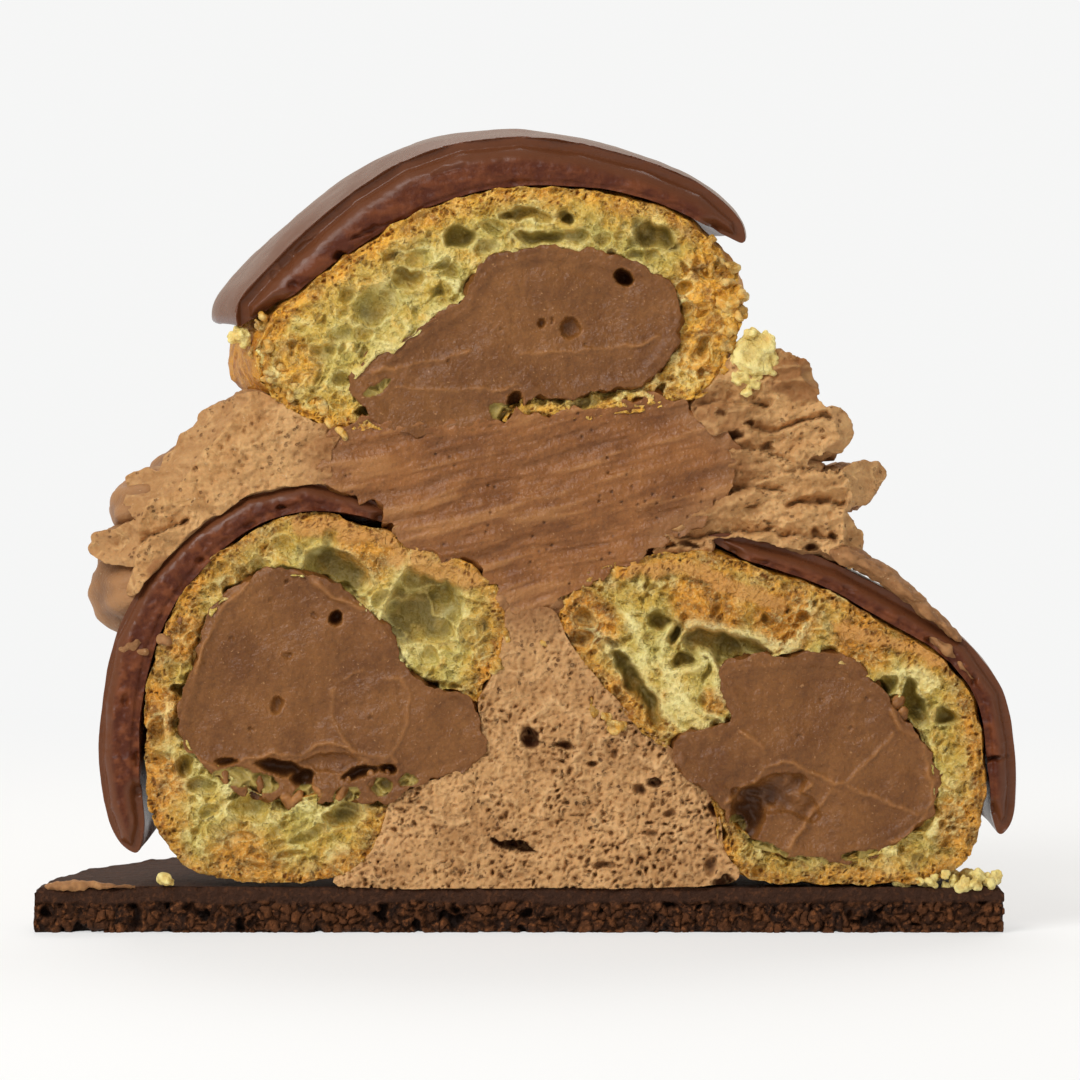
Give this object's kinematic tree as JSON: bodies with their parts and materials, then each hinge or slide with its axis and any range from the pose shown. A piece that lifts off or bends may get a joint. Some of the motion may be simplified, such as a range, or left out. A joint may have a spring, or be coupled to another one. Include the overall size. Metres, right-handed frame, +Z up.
{
  "type": "saint-honore cake half",
  "caption": "Half of an individual chocolate Saint-Honore cake, showing glazed cream-filled choux buns and piped cream on a crisp biscuit base.",
  "frame": {"origin": "middle of the half cake's box, on the surface that it stands on", "axes": "+Z up, the flat cut face looks along -Y, +X to the right of someone who looks at the cut face"},
  "size_m": [0.0912, 0.046, 0.0747],
  "materials": {
    "chocolate_shortcrust": "matte crumbly dark cocoa biscuit",
    "choux_pastry": "golden baked crust over a pale yellow open crumb",
    "chocolate_pastry_cream": "smooth moist milk chocolate cream",
    "chocolate_glaze": "glossy dark chocolate glaze",
    "whipped_chocolate_cream": "satin aerated chocolate cream"
  },
  "bodies": {
    "root": {"biscuit_base": "chocolate_shortcrust", "left_bun_shell": "choux_pastry", "left_bun_cream": "chocolate_pastry_cream", "left_glaze": "chocolate_glaze", "right_bun_shell": "choux_pastry", "right_bun_cream": "chocolate_pastry_cream", "right_glaze": "chocolate_glaze", "top_bun_shell": "choux_pastry", "top_bun_cream": "chocolate_pastry_cream", "top_glaze": "chocolate_glaze", "rear_bun": "choux_pastry", "rear_glaze": "chocolate_glaze", "smooth_cream": "chocolate_pastry_cream", "centre_cream": "whipped_chocolate_cream", "piped_swirl": "whipped_chocolate_cream"}
  },
  "joints": []
}
